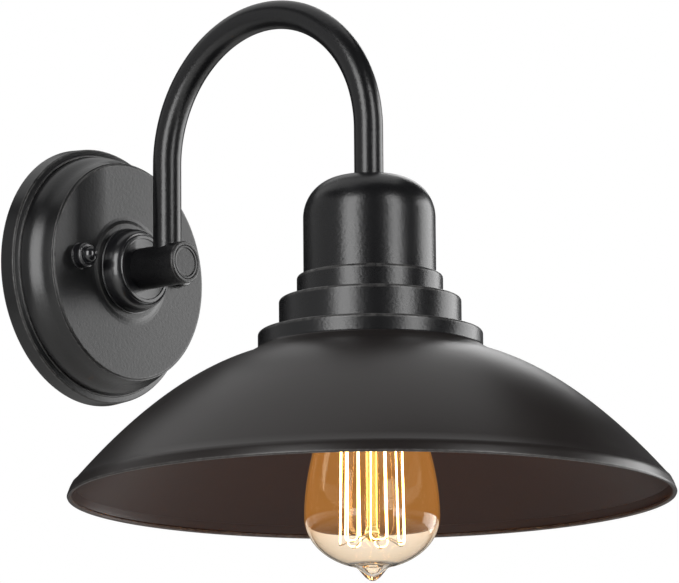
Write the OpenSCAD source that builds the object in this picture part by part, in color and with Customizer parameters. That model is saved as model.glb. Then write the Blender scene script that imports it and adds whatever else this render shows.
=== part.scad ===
// Outdoor wall lantern: a round stepped canopy, a gooseneck arm, a domed socket cup,
// a wide spun shade and a clear filament lamp. Millimetres, +Z up, the wall is the
// plane y = 0 and the lantern stands out from it along -Y.

/* [Canopy] */
// Radius of the canopy's rim on the wall
canopy_r = 64.25; // [64:0.25:68]
// Depth of the canopy, from the wall to its flat front
canopy_depth = 25.1; // [25:0.1:27]
// Radius of the flat front
face_r = 53.6; // [53:0.1:54]
// Depth of the straight band next to the wall
band_depth = 8.2; // [7.6:0.1:8.6]
// Distance between the two canopy studs
stud_spacing = 69.85; // [69:0.05:70.5]
// Height of the studs above the canopy's axis
stud_rise = 3.0; // [2.5:0.1:3.5]
// Distance between the two box screws
box_spacing = 88.9; // [88:0.1:90]

/* [Arm] */
// Outside radius of the gooseneck tube
tube_r = 7.0; // [6.8:0.1:7.2]
// Inside radius of the gooseneck tube
tube_bore_r = 5.1; // [5.1:0.1:5.3]
// Distance of the gooseneck's wall-side leg from the wall
leg_reach = 51.6; // [51:0.1:53]
// Centreline radius of the gooseneck's arch
arch_r = 65.4; // [64:0.1:70]
// Height of the arch's centre above the canopy's axis
arch_z = 49.6; // [46:0.1:60]
// Radius of the horizontal stub that carries the gooseneck
stub_r = 10.4; // [10.2:0.1:10.8]
// Distance of the stub's free end from the wall
stub_reach = 64.15; // [63.5:0.05:66]

/* [Cup and shade] */
// Sheet thickness of the canopy, the cup and the shade
sheet = 1.2; // [1.0:0.1:1.3]
// Outside radius of the domed cup
cup_r = 31.6; // [31.4:0.1:32]
// Height of the cup's top
cup_top = 25.5; // [25:0.1:26]
// Outside radii of the shade's three steps
step_r = [34.8, 43.4, 53.5];
// Heights of the tops of the three steps, then of the foot of the lowest
step_z = [-22.4, -33.7, -49.6, -59.3];
// Radius of the crease above the shade's rim band
crease_r = 141.1; // [138:0.1:143]
// Height of the crease
crease_z = -122.3; // [-124:0.1:-120]
// Radius of the shade's mouth
mouth_r = 144.0; // [143.2:0.1:148]
// Height of the shade's mouth
mouth_z = -128.8; // [-132:0.1:-127]

/* [Lamp] */
// Largest radius of the glass
glass_r = 32.1; // [31:0.1:33]
// Height of the glass's widest ring
glass_z = -138; // [-142:0.5:-134]
// Height of the tip at the bottom of the glass
tip_z = -168.4; // [-170:0.1:-167]
// Outside radius of the lamp's screw base
base_r = 13.0; // [12.8:0.05:13.05]
// Number of upright filament strands, an even number
strands = 14; // [8:2:20]

/* [Hidden] */
$fn = 96;
lamp_reach = leg_reach + 2 * arch_r;
stud_r = 2.1;
fit_gap = 0.05;
nipple_r = 6.0;
nipple_bore_r = 4.4;
head_nipple_r = 5.05;
head_bore_r = 3.6;
collar_depth = 36.8;
strap_thickness = 2.0;
boss_rise = 0.9;
hub_foot = canopy_depth + boss_rise;
nut_washer_depth = canopy_depth + 0.3;
nut_foot = nut_washer_depth + 0.05;
stud_end = canopy_depth + 7.6;
wire_r = 1.1;
wire_x = 1.35;
earth_shift = 2.2;
elbow_r = 7;
elbow_z = 6;
yoke_top = 18.2;
yoke_plate = 1.8;
yoke_leg_x = 23;
yoke_leg_width = 10;
socket_r = 19;
socket_top = -16;
socket_mouth = -53;
shell_bore_r = base_r + 0.35;
contact_top = -28.4;
neck_r = 12.4;
cage_r = 15.5;
cage_top = -84;
cage_bottom = -150.5;
strand_r = 0.35;
turn_r = 0.28;
turn_lift = [0, 0, 0.5];
hook_r = 0.25;
screw_x = 27;
spacer_x = 13;
terminal_y = 9;

// Points along an elliptical arc, from angle a0 to a1 in n steps.
function arc(cx, cy, rx, ry, a0, a1, n = 12) =
    [for (i = [0:n]) let (a = a0 + (a1 - a0) * i / n) [cx + rx * cos(a), cy + ry * sin(a)]];

function reversed(list) = [for (i = [len(list) - 1:-1:0]) list[i]];

// Turns a child so that its +Z runs straight out from the wall.
module off_wall(x = 0, z = 0) {
    translate([x, 0, z]) rotate([90, 0, 0]) children();
}

module on_lamp_axis() {
    translate([0, -lamp_reach, 0]) children();
}

module lathe(outline) {
    rotate_extrude() polygon(outline);
}

// A straight round bar between two heights.
module bar(r, low, high) {
    translate([0, 0, low]) cylinder(r = r, h = high - low);
}

// A bar with a round hole along it.
module sleeve(outer, inner, low, high) {
    difference() {
        bar(outer, low, high);
        bar(inner, low - 1, high + 1);
    }
}

module hex_nut(across_corners_r, bore, low, high) {
    difference() {
        translate([0, 0, low]) cylinder(r = across_corners_r, h = high - low, $fn = 6);
        bar(bore, low - 1, high + 1);
    }
}

// A thin round bar between any two points, with flat ends.
module run(a, b, r) {
    v = b - a;
    translate(a) rotate([0, acos(v[2] / norm(v)), atan2(v[1], v[0])]) cylinder(r = r, h = norm(v));
}

// ---- Canopy group ----

// Half section of the canopy's outside as [radius, depth]: a band, a flat ledge with a raised
// lip, a shallow ogee, and a bead under the edge of the flat front.
canopy_outside = [
    [canopy_r, 0], [canopy_r - 0.6, band_depth - 0.7], [canopy_r - 1.2, band_depth],
    [canopy_r - 3.6, band_depth + 0.5], [canopy_r - 3.9, band_depth + 1.0], [canopy_r - 4.4, band_depth + 1.0],
    [canopy_r - 4.8, band_depth + 0.6], [canopy_r - 4.85, 11], [canopy_r - 5.1, 12.8], [canopy_r - 5.7, 14.6],
    [canopy_r - 6.6, 16.3], [face_r + 3.0, 17.9], [face_r + 2.3, 19.4], [face_r + 1.75, 21],
    [face_r + 1.25, canopy_depth - 2.6], [face_r + 0.85, canopy_depth - 1.5], [face_r + 0.7, canopy_depth - 0.8],
    [face_r + 0.1, canopy_depth - 0.7], [face_r - 0.4, canopy_depth]
];

// The same from inside, one sheet in.
canopy_inside = [
    [canopy_r - sheet, 0], [canopy_r - 1.8, band_depth - 1.6], [canopy_r - 4.6, band_depth - 0.8],
    [canopy_r - 6.0, band_depth + 0.4], [canopy_r - 6.1, 11], [canopy_r - 6.35, 12.5], [canopy_r - 6.9, 14],
    [canopy_r - 7.8, 15.6], [face_r + 1.8, 17.4], [face_r + 1.15, 19], [face_r + 0.6, 20.7],
    [face_r + 0.1, canopy_depth - 2.8], [face_r - 0.6, canopy_depth - sheet]
];

// The low raised boss round the arm, drawn back by t.
function boss(t) = [[27.2, canopy_depth - t], [25.6, canopy_depth + 0.2 - t], [23.8, hub_foot - 0.15 - t],
                    [22.6, hub_foot - t]];

module canopy() {
    color("#1b1b1d") off_wall() difference() {
        lathe(concat(canopy_outside, boss(0), [[nipple_r + 0.2, hub_foot], [nipple_r + 0.2, hub_foot - sheet]],
                     reversed(boss(sheet)), reversed(canopy_inside)));
        for (side = [-1, 1])
            translate([side * stud_spacing / 2, stud_rise, 0]) bar(stud_r + 0.5, 10, canopy_depth + 5);
    }
}

module wall_gasket() {
    color("#2a2a2a") off_wall() sleeve(canopy_r - 2.2, canopy_r - 7.5, 0, 3);
}

module strap_outline() {
    half = box_spacing / 2 - 0.5;
    difference() {
        union() {
            square([2 * half, 24], center = true);
            for (side = [-1, 1]) translate([side * half, 0]) circle(r = 12);
        }
        circle(r = 10);
        for (side = [-1, 1]) translate([side * box_spacing / 2, 0]) {
            square([4.6, 4.4], center = true);
            for (end = [-1, 1]) translate([end * 2.3, 0]) circle(r = 2.2);
        }
    }
}

module mounting_bracket() {
    color("#b9bcc0") off_wall() difference() {
        linear_extrude(strap_thickness) strap_outline();
        for (side = [-1, 1])
            translate([side * stud_spacing / 2, stud_rise, 0]) bar(stud_r + fit_gap, -1, 3);
        translate([-20, 5, 0]) bar(2 + fit_gap, -1, 3);
    }
}

module ground_screw() {
    color("#3f8f4a") off_wall(-20, 5) {
        bar(2, 0.2, strap_thickness + 0.6);
        bar(4.2, strap_thickness, strap_thickness + 0.9);
        translate([0, 0, strap_thickness + 0.9]) cylinder(r = 3.6, h = 2.4, $fn = 6);
    }
}

module canopy_studs() {
    color("#c4c7ca") for (side = [-1, 1])
        off_wall(side * stud_spacing / 2, stud_rise) bar(stud_r, 0.2, stud_end);
}

module stud_lock_nuts() {
    color("#c4c7ca") for (side = [-1, 1])
        off_wall(side * stud_spacing / 2, stud_rise) hex_nut(4.6, stud_r + fit_gap, strap_thickness, strap_thickness + 3.2);
}

module cap_nut_washers() {
    color("#202022") for (side = [-1, 1])
        off_wall(side * stud_spacing / 2, stud_rise) sleeve(5.4, stud_r + 0.3, canopy_depth, nut_washer_depth);
}

// A short round nut with a base flange, a ball end and a blind bore, its foot at nut_foot.
module cap_nut() {
    difference() {
        lathe(concat(
            [[0, nut_foot], [6.3, nut_foot], [6.65, nut_foot + 0.35], [6.65, nut_foot + 0.9], [6.2, nut_foot + 1.3]],
            arc(5.2, nut_foot + 5.0, 1.0, 1.0, 0, 90, 4),
            arc(0, nut_foot + 6.6, 4.05, 4.05, -8, 90, 14)
        ));
        bar(stud_r + fit_gap, nut_foot - 1, stud_end + 0.4);
    }
}

module cap_nut_left() {
    color("#0c0c0e") off_wall(-stud_spacing / 2, stud_rise) cap_nut();
}

module cap_nut_right() {
    color("#0c0c0e") off_wall(stud_spacing / 2, stud_rise) cap_nut();
}

// ---- Arm group ----

module hub_collar() {
    color("#0e0e10") off_wall() difference() {
        lathe(concat(
            [[0, hub_foot], [21.1, hub_foot], [21.45, hub_foot + 0.3], [21.45, hub_foot + 0.7]],
            arc(16.9, hub_foot + 0.9, 3.9, collar_depth - hub_foot - 1.5, 0, 84, 12),
            [[16.5, collar_depth], [0, collar_depth]]
        ));
        bar(nipple_r + 0.2, hub_foot - 1, collar_depth + 1);
    }
}

module arm_stub() {
    plug_depth = stub_reach - 2.05;
    color("#111113") difference() {
        off_wall() difference() {
            lathe([[0, collar_depth], [stub_r, collar_depth], [stub_r, stub_reach - 0.9],
                   [stub_r - 0.9, stub_reach], [0, stub_reach]]);
            bar(5.5, collar_depth + 7, stub_reach + 1);
            bar(nipple_r + fit_gap, collar_depth - 1, collar_depth + 7.5);
            bar(8.4, plug_depth, stub_reach + 1);
        }
        translate([0, -leg_reach, 0]) bar(tube_r + 0.05, 3.4, stub_r + 1);
        translate([0, -leg_reach, 0]) bar(tube_bore_r, 0, 4);
        translate([0, -leg_reach, 5.6]) rotate([0, 90, 0]) bar(1.6, tube_r - 1, stub_r + 1);
    }
}

module arm_end_plug() {
    plug_depth = stub_reach - 2.05;
    color("#131315") off_wall() {
        lathe([[0, plug_depth], [8.35, plug_depth], [8.35, stub_reach - 0.3], [8.05, stub_reach], [0, stub_reach]]);
        bar(5.45, stub_reach - 5.2, plug_depth + 0.1);
    }
}

module arm_nipple() {
    color("#c9b26a") off_wall() sleeve(nipple_r, nipple_bore_r, canopy_depth - 9, collar_depth + 6.8);
}

module arm_lock_washer() {
    back = hub_foot - sheet;
    color("#b9bcc0") off_wall() difference() {
        sleeve(10.5, nipple_r + 0.1, back - 1, back);
        for (a = [0:30:330]) rotate(a) translate([10.5, 0, back - 2]) cylinder(r = 0.8, h = 3);
    }
}

module arm_lock_nut() {
    back = hub_foot - sheet - 1;
    color("#c4c7ca") off_wall() hex_nut(9.8, nipple_r + fit_gap, back - 4, back);
}

// A short headless screw in the stub's right side, its point on the tube.
module arm_set_screw() {
    color("#1a1a1c") translate([0, -leg_reach, 5.6]) rotate([0, 90, 0]) difference() {
        bar(1.55, tube_r + 0.02, 8.6);
        translate([0, 0, 7.7]) cylinder(r = 0.85, h = 2, $fn = 6);
    }
}

// Part of a ring of round bar about an axis along X, from angle a0 to a1, where 0 points
// away from the wall and 90 points up.
module bend(cy, cz, centreline, r, a0, a1, x = 0) {
    translate([x, cy, cz]) rotate([0, 0, 180]) rotate([90, 0, 90]) rotate([0, 0, a0])
        rotate_extrude(angle = a1 - a0) translate([centreline, 0]) circle(r = r);
}

// The path of the gooseneck, moved out of its own plane by x and out of its centreline by o.
module neck_path(r, x, o, low_wall, low_lamp) {
    translate([x, -leg_reach + o, 0]) bar(r, low_wall, arch_z);
    bend(-leg_reach - arch_r, arch_z, arch_r + o, r, 0, 180, x);
    translate([x, -lamp_reach - o, 0]) bar(r, low_lamp, arch_z);
}

module gooseneck() {
    color("#111113") difference() {
        neck_path(tube_r, 0, 0, 3.45, cup_top + 0.5);
        neck_path(tube_bore_r, 0, 0, 2, cup_top - 2);
    }
}

module head_seal() {
    color("#1a1a1a") on_lamp_axis() sleeve(tube_r + 0.35, head_nipple_r + 0.1, cup_top, cup_top + 0.5);
}

module head_nipple() {
    color("#c9b26a") on_lamp_axis() sleeve(head_nipple_r, head_bore_r, 9.5, cup_top + 12);
}

module head_washer() {
    color("#b9bcc0") on_lamp_axis() sleeve(7.9, head_nipple_r + 0.1, cup_top - sheet - 1, cup_top - sheet);
}

// One nut clamps the cup under the washer, the other holds the yoke against the first.
module head_nuts() {
    color("#c4c7ca") on_lamp_axis() {
        hex_nut(8.1, head_nipple_r + fit_gap, yoke_top, cup_top - sheet - 1);
        hex_nut(8.1, head_nipple_r + fit_gap, yoke_top - yoke_plate - 4.5, yoke_top - yoke_plate);
    }
}

// ---- Cup, yoke and shade ----

function cup_side(t) = concat(
    arc(12, cup_top - 19.8, cup_r - 12 - t, 19.6 - t, 0, 90, 14),
    [[8, cup_top - t]]
);

module socket_cup() {
    foot = step_z[0] + 0.05;
    color("#161618") on_lamp_axis() lathe(concat(
        [[cup_r - sheet, foot], [cup_r, foot]], cup_side(0), [[head_nipple_r + 0.1, cup_top]],
        [[head_nipple_r + 0.1, cup_top - sheet]], reversed(cup_side(sheet))
    ));
}

// A strap bent into a U: its top hangs on the nipple, its feet take the shade screws, and a
// tab takes the earth screw.
module yoke() {
    foot_top = step_z[0] + 2;
    tab_y = -11.6;
    color("#b9bcc0") on_lamp_axis() difference() {
        union() {
            translate([-yoke_leg_x - 1.6, -yoke_leg_width / 2, yoke_top - yoke_plate])
                cube([2 * yoke_leg_x + 3.2, yoke_leg_width, yoke_plate]);
            bar(11.2, yoke_top - yoke_plate, yoke_top);
            for (side = [-1, 1]) {
                translate([side * (yoke_leg_x + 0.8) - 0.8, -yoke_leg_width / 2, foot_top - 1.9])
                    cube([1.6, yoke_leg_width, yoke_top - foot_top + 1.9]);
                translate([side * (yoke_leg_x + 3.25) - 3.25, -yoke_leg_width / 2, foot_top - 1.9])
                    cube([6.5, yoke_leg_width, 1.9]);
            }
            translate([-4, tab_y - 1.5, -2]) cube([8, 1.5, yoke_top + 2]);
            translate([-4, tab_y - 1.5, yoke_top - yoke_plate]) cube([8, 6, yoke_plate]);
        }
        bar(head_nipple_r + 0.1, yoke_top - 5, yoke_top + 1);
        for (side = [-1, 1]) {
            translate([side * spacer_x, 0, 0]) bar(2, yoke_top - 5, yoke_top + 1);
            translate([side * screw_x, 0, 0]) bar(2 + fit_gap, foot_top - 3, foot_top + 1);
        }
        translate([0, tab_y + 1, 8]) rotate([90, 0, 0]) bar(1.5 + fit_gap, 0, 4);
    }
}

// The shade is one spinning, held as three simple solids that meet on its steps' walls.
crown_seam = step_z[2] + 3;
shade_seam = step_z[3] + 3;

// Half section of the two upper steps as [radius, height], drawn in by t from its outside.
function crown_side(t) = [for (i = [0:1]) each concat(
    arc(step_r[i] - 1.5, step_z[i] - 1.5, 1.5 - (t == 0 ? 0 : t), 1.5 - t, 90, 0, 4),
    [[step_r[i] - t, i == 1 ? crown_seam : step_z[i + 1] - t]])];

// Half section of the lowest step, drawn in the same way.
function step_side(t) = concat(
    [[step_r[1] - t, crown_seam], [step_r[1] - t, step_z[2] - t]],
    arc(step_r[2] - 1.5, step_z[2] - 1.5, 1.5 - (t == 0 ? 0 : t), 1.5 - t, 90, 0, 4),
    [[step_r[2] - t, shade_seam]]
);

// Half section of the skirt, drawn in the same way.
function skirt_side(t) = concat(
    [[step_r[2] - t, shade_seam]],
    arc(step_r[2] + 4.4, step_z[3] + 1.4 - t, 4.4 + t, 2.4 + t * 0.2, 180, 245, 5),
    [for (i = [1:14]) shade_sweep(i / 14, t)],
    [[mouth_r - t * 0.95, mouth_z + 0.2]]
);

// The skirt's sweep from the lowest step to the crease, u from 0 to 1: a quarter-like curve
// that leaves the step nearly level and reaches the crease at about 45 degrees.
function shade_sweep(u, t) =
    let (r0 = step_r[2] + 4, z0 = step_z[3] - 1.6, a = 13 + 30 * u)
    [r0 + (crease_r - r0) * u - t * sin(a), z0 + (crease_z - z0) * (0.36 * u + 0.64 * pow(u, 1.9)) - t * cos(a)];

module shade_crown() {
    color("#1c1a1b") on_lamp_axis() difference() {
        lathe(concat(
            [[22, step_z[0]]], crown_side(0), reversed(crown_side(sheet)), [[22, step_z[0] - sheet]]
        ));
        for (side = [-1, 1])
            translate([side * screw_x, 0, 0]) bar(2.2, step_z[0] - 5, step_z[0] + 1);
    }
}

module shade_step() {
    color("#1c1a1b") on_lamp_axis() lathe(concat(step_side(0), reversed(step_side(sheet))));
}

module shade() {
    color("#1c1a1b") on_lamp_axis()
        lathe(concat(skirt_side(0), [[mouth_r - 0.5, mouth_z]], reversed(skirt_side(sheet))));
}

module shade_screws() {
    under = step_z[0] - sheet;
    color("#c4c7ca") on_lamp_axis() for (side = [-1, 1]) translate([side * screw_x, 0, 0]) {
        bar(2, under - 0.5, under + 6);
        difference() {
            bar(3.8, under - 2.4, under);
            translate([-5, -0.5, under - 2.5]) cube([10, 1, 1]);
        }
    }
}

// ---- Lampholder ----

module socket_body() {
    color("#e8e4da") on_lamp_axis() difference() {
        lathe([[0, socket_top], [socket_r - 1.5, socket_top], [socket_r, socket_top - 1.5],
               [socket_r, -40], [17.6, -42], [17.6, socket_mouth + 1], [16.6, socket_mouth], [0, socket_mouth]]);
        bar(14.4, socket_mouth - 1, -27.2);
        bar(6.5, -28, -23.4);
        for (side = [-1, 1]) translate([side * spacer_x, 0, 0]) bar(1.9 + fit_gap, -22.5, socket_top + 1);
    }
}

module socket_spacers() {
    color("#c4c7ca") on_lamp_axis() for (side = [-1, 1])
        translate([side * spacer_x, 0, 0]) sleeve(3.4, 2.05, socket_top, yoke_top - yoke_plate);
}

module socket_screws() {
    color("#c4c7ca") on_lamp_axis() for (side = [-1, 1]) translate([side * spacer_x, 0, 0]) {
        bar(1.9, -22, yoke_top + 0.5);
        difference() {
            bar(3.6, yoke_top, yoke_top + 2.4);
            translate([-5, -0.5, yoke_top + 1.5]) cube([10, 1, 2]);
        }
    }
}

module screw_shell() {
    color("#c8a24a") on_lamp_axis() difference() {
        bar(14.3, -51.5, -27.3);
        bar(shell_bore_r, -52, -28);
        bar(9, -29, -27);
    }
}

// The sprung tongue in the bottom of the socket, as a stepped button.
module centre_contact() {
    color("#c8a24a") on_lamp_axis() {
        bar(4, contact_top + 0.3, contact_top + 1.2);
        bar(5.4, contact_top + 1.1, contact_top + 2);
    }
}

module terminal_plates() {
    color("#c8a24a") on_lamp_axis() for (side = [-1, 1])
        translate([side * wire_x - 4, side > 0 ? terminal_y - 3 : -terminal_y - 7, socket_top]) cube([8, 10, 1]);
}

module terminal_screws() {
    color("#c8a24a") on_lamp_axis() for (side = [-1, 1])
        translate([side * wire_x, side * (terminal_y + 4.4), 0]) difference() {
            bar(2.6, socket_top + 1, socket_top + 3.2);
            translate([-4, -0.4, socket_top + 2.4]) cube([8, 0.8, 2]);
        }
}

module earth_screw() {
    tab_y = -11.6;
    color("#3f8f4a") on_lamp_axis() translate([0, tab_y, 8]) rotate([90, 0, 0]) {
        bar(1.5, -0.5, 4);
        bar(3, -1.8, 0);
    }
}

// ---- Leads ----

// An insulated lead from the lampholder, through the gooseneck and the stub, into the canopy.
module lead(x, o) {
    neck_path(wire_r, x, o, elbow_z, 6);
    bend_r = elbow_r - o;
    bend(-leg_reach + elbow_r, elbow_z, bend_r, wire_r, 270, 360, x);
    off_wall(x, elbow_z - bend_r) bar(wire_r, 14, leg_reach - elbow_r);
}

module lamp_lead(side) {
    x = side * wire_x;
    z0 = elbow_z - elbow_r;
    lead(x, 0);
    bend(-14, z0 - 6, 6, wire_r, 90, 180, x);
    translate([x, -8, z0 - 18]) bar(wire_r, 0, 12);
    // Two sixty-degree bends carry the lead out to its terminal.
    on_lamp_axis() translate([x, 0, 0]) mirror([0, side < 0 ? 1 : 0, 0]) {
        s_bend(terminal_y, 6);
        translate([0, terminal_y, socket_top + 1]) cylinder(r = wire_r, h = 6 - 2 * terminal_y * sin(60) - socket_top - 1);
    }
}

// A shift of w along +Y, made of two sixty-degree bends that start at height top and go down.
module s_bend(w, top) {
    translate([0, w, top]) rotate([90, 0, 90]) rotate([0, 0, 180])
        rotate_extrude(angle = 60) translate([w, 0]) circle(r = wire_r);
    translate([0, 0, top - 2 * w * sin(60)]) rotate([90, 0, 90])
        rotate_extrude(angle = 60) translate([w, 0]) circle(r = wire_r);
}

module live_lead() {
    color("#17171a") lamp_lead(-1);
}

module neutral_lead() {
    color("#e9e6dd") lamp_lead(1);
}

module earth_lead() {
    z0 = elbow_z - elbow_r + earth_shift;
    color("#3f8f4a") {
        lead(0, earth_shift);
        bend(-14, z0 + 6, 6, wire_r, 180, 270, 0);
        translate([0, -8, z0 + 6]) bar(wire_r, 0, 12);
        on_lamp_axis() {
            bend(-earth_shift - 5, 6, 5, wire_r, 180, 270);
            off_wall(0, 1) bar(wire_r, earth_shift + 5, 11.6);
        }
    }
}

// The bared copper at the canopy ends of the three leads.
module lead_ends() {
    z0 = elbow_z - elbow_r;
    color("#c07a4a") {
        for (side = [-1, 1]) translate([side * wire_x, -8, z0 - 27]) bar(0.6, 0, 9);
        translate([0, -8, z0 + earth_shift + 18]) bar(0.6, 0, 9);
    }
}

// ---- Lamp ----

function glass_side(t) = concat(
    [[neck_r - t, -53.5], [neck_r + 0.2 - t, -60]],
    [[15.4 - t, -70], [19.2 - t, -82], [23.6 - t, -94], [27.4 - t, -105], [30.2 - t, -117], [31.7 - t, -128]],
    arc(0, glass_z, glass_r - t, 24.5 - t, 0, -72, 14)
);

module bulb_glass() {
    wall = 0.9;
    color("#d98b2b", 0.4) on_lamp_axis() lathe(concat(
        glass_side(0),
        [[8.4, -161.3], [7.0, -162.4], [4.4, -165.4], [2.0, tip_z + 0.7], [0, tip_z]],
        [[0, tip_z + 4], [3, -161.8], [7.6, -160.4]],
        reversed(glass_side(wall))
    ));
}

module bulb_base() {
    color("#c9a85a") on_lamp_axis() difference() {
        lathe([[0, contact_top - 3.6], [9.4, contact_top - 3.6], [base_r - 1, contact_top - 5.6],
               [base_r, contact_top - 7], [base_r, -51.6], [13.3, -53], [13.3, -57.5], [0, -57.5]]);
        lathe([[0, contact_top - 4.2], [8.8, contact_top - 4.2], [base_r - 1.6, contact_top - 6.2],
               [base_r - 0.45, contact_top - 7.4], [base_r - 0.45, -58.5], [0, -58.5]]);
        bar(7.5, contact_top - 5, contact_top - 3);
    }
}

module base_insulator() {
    color("#141414") on_lamp_axis() difference() {
        lathe([[0, contact_top - 0.9], [4.6, contact_top - 0.9], [7.4, contact_top - 3.4],
               [7.4, contact_top - 6], [0, contact_top - 6]]);
        bar(3.3, contact_top - 1.2, contact_top);
        bar(0.45, contact_top - 7, contact_top);
    }
}

module base_contact() {
    color("#b8b8b4") on_lamp_axis() lathe([[0, contact_top], [2.4, contact_top], [3.2, contact_top - 0.5],
                                           [3.2, contact_top - 1.2], [0, contact_top - 1.2]]);
}

// The glass stem is melted round the wires that stand in it.
module glass_stem() {
    color("#e6d9b8", 0.6) on_lamp_axis() difference() {
        lathe([
            [0, -60], [3, -60], [10.9, -58.4], [11.2, -59.6], [5.2, -64], [3.8, -70], [3.8, -76],
            [2.6, -79], [2.6, -81], [3.6, -83], [3.6, -85], [2.6, -87],
            [2.6, -143], [3.4, -145], [3.4, -147.5], [1.6, -149.5], [0, -149.8]]);
        lead_in_run();
        hooks();
    }
}

// Two stiff wires that carry the current from the base up to the cage's first and last strands.
module lead_in_run() {
    for (side = [-1, 1]) {
        root = [0, side * 4.4, -64.9];
        knee = [3.2, side * 4.6, -78];
        run(root, knee, 0.4);
        translate(knee) sphere(r = 0.42);
        run(knee, strand_top(side > 0 ? 0 : strands - 1) + [0, 0, 0.42], 0.4);
    }
}

module lead_in_wires() {
    color("#9a9a9a") on_lamp_axis() lead_in_run();
}

function strand_top(i) = let (a = 360 * (i + 0.5) / strands) [(cage_r - 1) * cos(a), (cage_r - 1) * sin(a), cage_top];
function strand_foot(i) = let (a = 360 * (i + 0.5) / strands) [cage_r * cos(a), cage_r * sin(a), cage_bottom];

// Hooks at the top and bottom of the cage, one for each place where the filament turns.
module hooks() {
    for (i = [0:strands / 2 - 1]) {
        a = 360 * (2 * i) / strands;
        b = 360 * (2 * i + 1) / strands;
        reach_top = (cage_r - 1) * cos(180 / strands) - strand_r - hook_r;
        reach_foot = cage_r * cos(180 / strands) - strand_r - hook_r;
        if (i > 0)
            run([2.4 * cos(a), 2.4 * sin(a), -84], [reach_top * cos(a), reach_top * sin(a), cage_top + 1], hook_r);
        run([2.2 * cos(b), 2.2 * sin(b), -146], [reach_foot * cos(b), reach_foot * sin(b), cage_bottom - 0.4], hook_r);
    }
}

module filament_supports() {
    color("#8f8f8a") on_lamp_axis() hooks();
}

// One long thread: up one strand, across, down the next, and open at one side.
module filament() {
    color("#ffd27a") on_lamp_axis() for (i = [0:strands - 1]) {
        run(strand_top(i), strand_foot(i), strand_r);
        if (i < strands - 1) {
            if (i % 2 == 0) run(strand_foot(i) + turn_lift, strand_foot(i + 1) + turn_lift, turn_r);
            else run(strand_top(i) - turn_lift, strand_top(i + 1) - turn_lift, turn_r);
        }
    }
}

wall_gasket();
mounting_bracket();
ground_screw();
canopy_studs();
stud_lock_nuts();
canopy();
cap_nut_washers();
cap_nut_left();
cap_nut_right();
hub_collar();
arm_stub();
arm_end_plug();
arm_nipple();
arm_lock_washer();
arm_lock_nut();
arm_set_screw();
gooseneck();
head_seal();
head_nipple();
head_washer();
head_nuts();
socket_cup();
yoke();
shade_crown();
shade_step();
shade();
shade_screws();
socket_body();
socket_spacers();
socket_screws();
screw_shell();
centre_contact();
terminal_plates();
terminal_screws();
earth_screw();
live_lead();
neutral_lead();
earth_lead();
lead_ends();
bulb_glass();
bulb_base();
base_insulator();
base_contact();
glass_stem();
lead_in_wires();
filament_supports();
filament();
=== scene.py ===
import math

import bmesh
import bpy
from mathutils import Matrix, Vector


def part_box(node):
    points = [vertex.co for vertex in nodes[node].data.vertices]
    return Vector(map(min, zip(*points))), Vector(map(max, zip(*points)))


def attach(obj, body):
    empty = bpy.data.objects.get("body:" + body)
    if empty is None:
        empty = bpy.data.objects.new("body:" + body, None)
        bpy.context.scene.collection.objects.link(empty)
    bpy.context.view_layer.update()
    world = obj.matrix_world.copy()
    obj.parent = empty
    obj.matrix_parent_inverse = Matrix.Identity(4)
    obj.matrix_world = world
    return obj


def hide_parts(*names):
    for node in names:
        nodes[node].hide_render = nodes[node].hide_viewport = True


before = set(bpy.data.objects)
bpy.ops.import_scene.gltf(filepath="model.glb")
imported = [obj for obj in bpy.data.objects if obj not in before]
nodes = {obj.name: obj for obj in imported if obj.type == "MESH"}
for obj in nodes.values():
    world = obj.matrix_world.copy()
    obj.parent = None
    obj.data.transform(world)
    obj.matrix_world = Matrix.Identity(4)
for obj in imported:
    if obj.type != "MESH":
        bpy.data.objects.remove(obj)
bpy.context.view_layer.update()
mm = 0.001
print("frame loaded:", len(nodes), "nodes")

# Places and sizes that several pieces share, read from the frame.
cupLow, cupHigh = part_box("socket_cup")
stubLow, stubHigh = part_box("arm_stub")
lampAxis = Vector(((cupLow.x + cupHigh.x) / 2, (cupLow.y + cupHigh.y) / 2, 0))
lampReach = -lampAxis.y / mm
canopyLow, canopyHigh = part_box("canopy")
canopyDepth = -canopyLow.y / mm
canopyR = canopyHigh.x / mm
neckLow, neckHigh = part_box("gooseneck")
tubeR = neckHigh.x / mm
legReach = -neckHigh.y / mm + tubeR
archR = (lampReach - legReach) / 2
archZ = neckHigh.z / mm - archR - tubeR


def onLamp(x, y, h):
    return (x * mm, lampAxis.y + y * mm, h * mm)


def offWall(x0=0.0, z0=0.0):
    # the turned axis runs straight out from the wall
    return lambda x, y, h: ((x0 + x) * mm, -h * mm, (z0 + y) * mm)


cameraSetup = {"azimuth": -49.245, "elevation": -10.453, "roll": -0.486, "distance": 2.6102,
               "aim": (0.0206, -0.1455, -0.0224), "lens": 286.6}
studio = {"surround": 0.03, "seen": 1.0, "floorDrop": 0.62, "floorHalf": 4.0, "litPoint": (0, -0.13, -0.02)}
# name, azimuth and elevation in degrees, distance, width and height in metres, watts
softboxes = [
    ("keyLeft", -80, 12, 1.6, 0.75, 1.7, 26),
    ("keyRight", -4, 10, 1.6, 0.55, 1.7, 19),
    ("rimRight", 68, 4, 1.5, 1.12, 1.3, 18),
    ("fillLeft", -140, 12, 1.6, 2.0, 1.6, 4.6),
    ("ceiling", 156, 66, 1.6, 2.0, 2.0, 9.0),
    ("backRight", 117, 30, 1.6, 0.35, 0.5, 1.3),
]


def addToScene(thing):
    bpy.context.scene.collection.objects.link(thing)


def direction(azimuth, elevation):
    # the unit vector that points at a place seen in this direction
    a, e = math.radians(azimuth), math.radians(elevation)
    return Vector((math.sin(a) * math.cos(e), -math.cos(a) * math.cos(e), math.sin(e)))


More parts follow.
